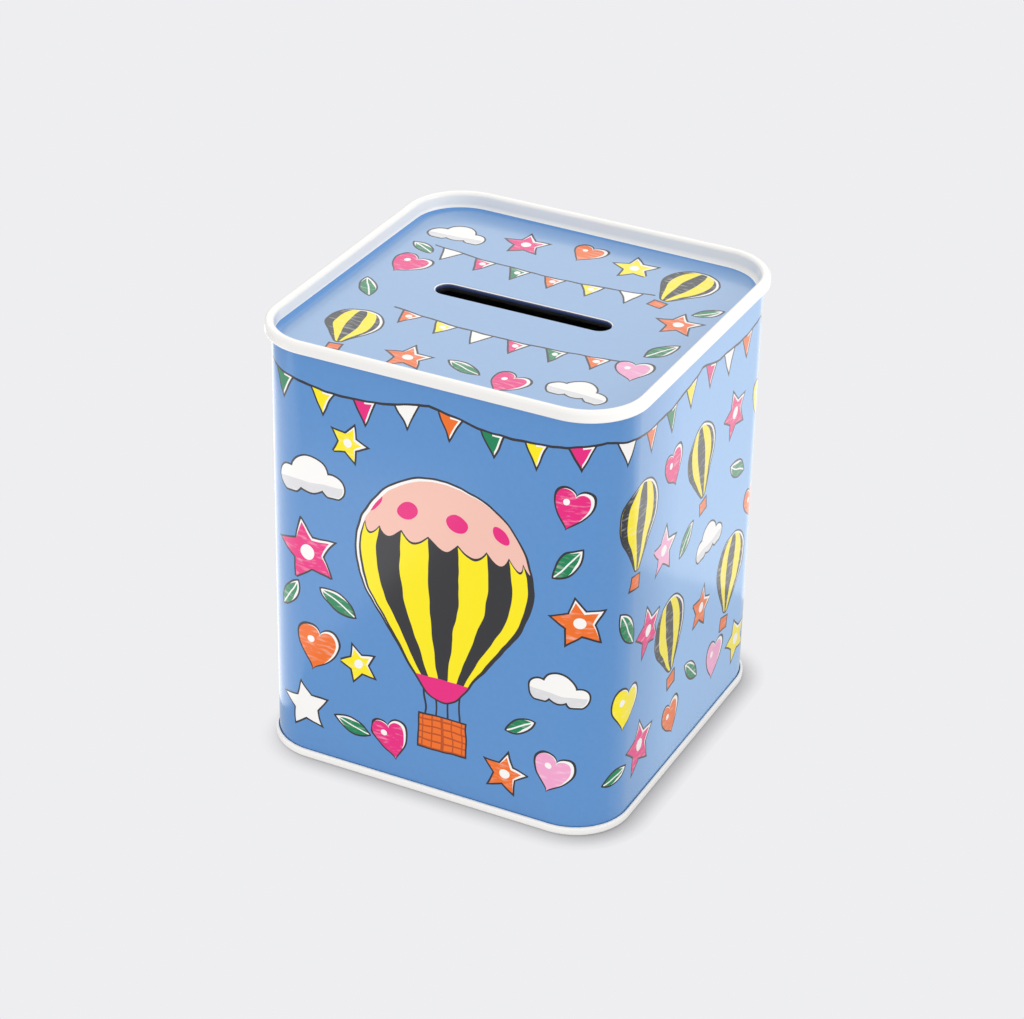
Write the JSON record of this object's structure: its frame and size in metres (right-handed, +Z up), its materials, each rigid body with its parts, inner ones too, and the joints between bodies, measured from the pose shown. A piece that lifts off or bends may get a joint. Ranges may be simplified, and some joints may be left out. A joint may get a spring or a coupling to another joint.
{
  "type": "tin money box",
  "caption": "Square tin money box with rounded corners, a printed wall, white rolled rims, a sunk top panel with a coin slot and a pull-out stopper in the base.",
  "frame": {"origin": "middle of the base, on the surface that the box stands on", "axes": "+Z up, the front of the box faces -Y, the coin slot runs along X and the wall's lock seam is at the back, on +Y"},
  "size_m": [0.081, 0.081, 0.0955],
  "materials": {
    "printed_tinplate": "glossy printed tinplate",
    "white_top": "glossy white enamel with a printed panel",
    "white_base": "glossy white enamel",
    "stopper_plastic": "soft moulded plastic"
  },
  "bodies": {
    "tin": {"body_wall": "printed_tinplate", "top_panel": "white_top", "base_panel": "white_base"},
    "stopper": {"stopper": "stopper_plastic"}
  },
  "joints": [
    {"name": "stopper_pull", "type": "slide", "parent": "tin", "child": "stopper", "axis": [0, 0, -1], "range_m": [0, 0.06]}
  ]
}
